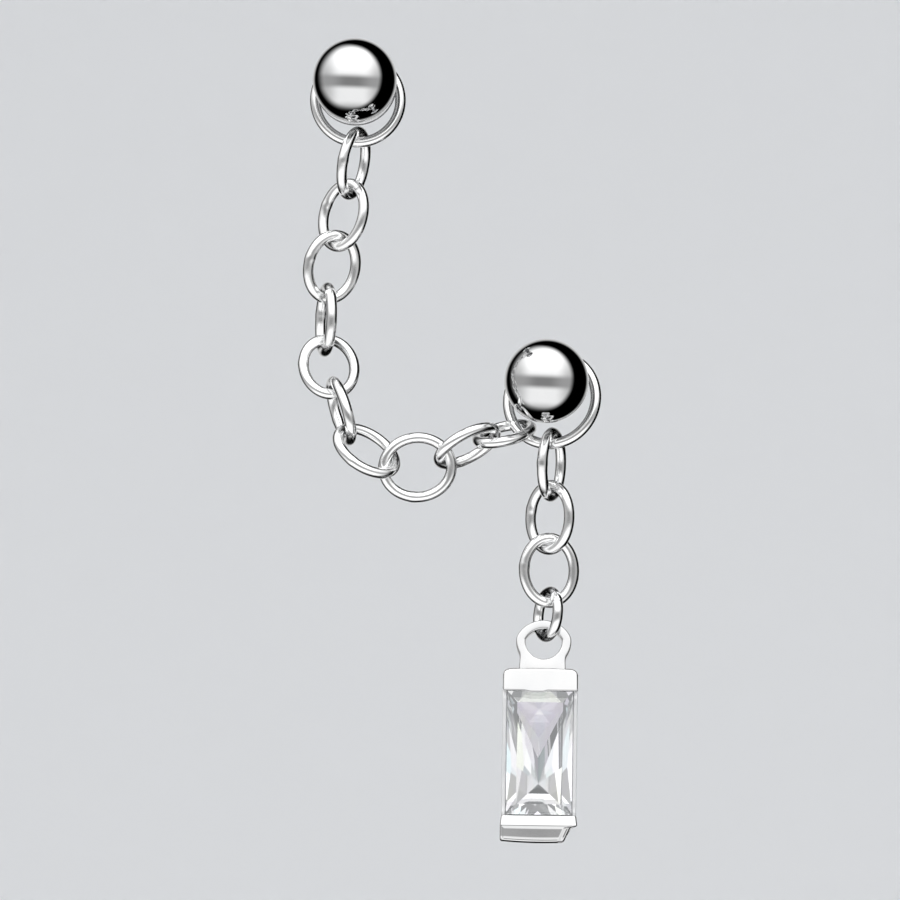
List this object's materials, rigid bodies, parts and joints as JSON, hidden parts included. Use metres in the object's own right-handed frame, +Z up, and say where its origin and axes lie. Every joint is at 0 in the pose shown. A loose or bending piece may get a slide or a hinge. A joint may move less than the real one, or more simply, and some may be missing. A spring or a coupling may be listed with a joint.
{
  "type": "chain earring",
  "caption": "Upper ear piece: ball-fronted studs on plain posts, joined by a swag of oval link chain, with a short chain drop that ends in a long clear step-cut stone.",
  "frame": {"origin": "on the upper post's axis, in the plane of the ear's front, where the piece pins on", "axes": "+Z up against gravity, +Y into the ear along both posts, +X to the right as the front is seen"},
  "size_m": [0.0106, 0.0116, 0.0279],
  "materials": {
    "polished_steel": "mirror polished stainless steel",
    "plain_steel": "plain turned stainless steel",
    "clear_stone": "clear step-cut cubic zirconia"
  },
  "bodies": {
    "earring": {"upper_ball": "polished_steel", "upper_post": "plain_steel", "upper_back": "plain_steel", "upper_ring": "polished_steel", "main_chain": "polished_steel", "lower_ball": "polished_steel", "lower_post": "plain_steel", "lower_back": "plain_steel", "lower_ring": "polished_steel", "drop_chain": "polished_steel", "jump_ring": "polished_steel"},
    "pendant": {"pendant_setting": "polished_steel", "baguette_stone": "clear_stone"}
  },
  "joints": [
    {"name": "pendant_swing", "type": "hinge", "parent": "earring", "child": "pendant", "pos_m": [0.0075, -0.0005, -0.01913], "axis": [0, 1, 0], "range_deg": [-85, 85]}
  ]
}
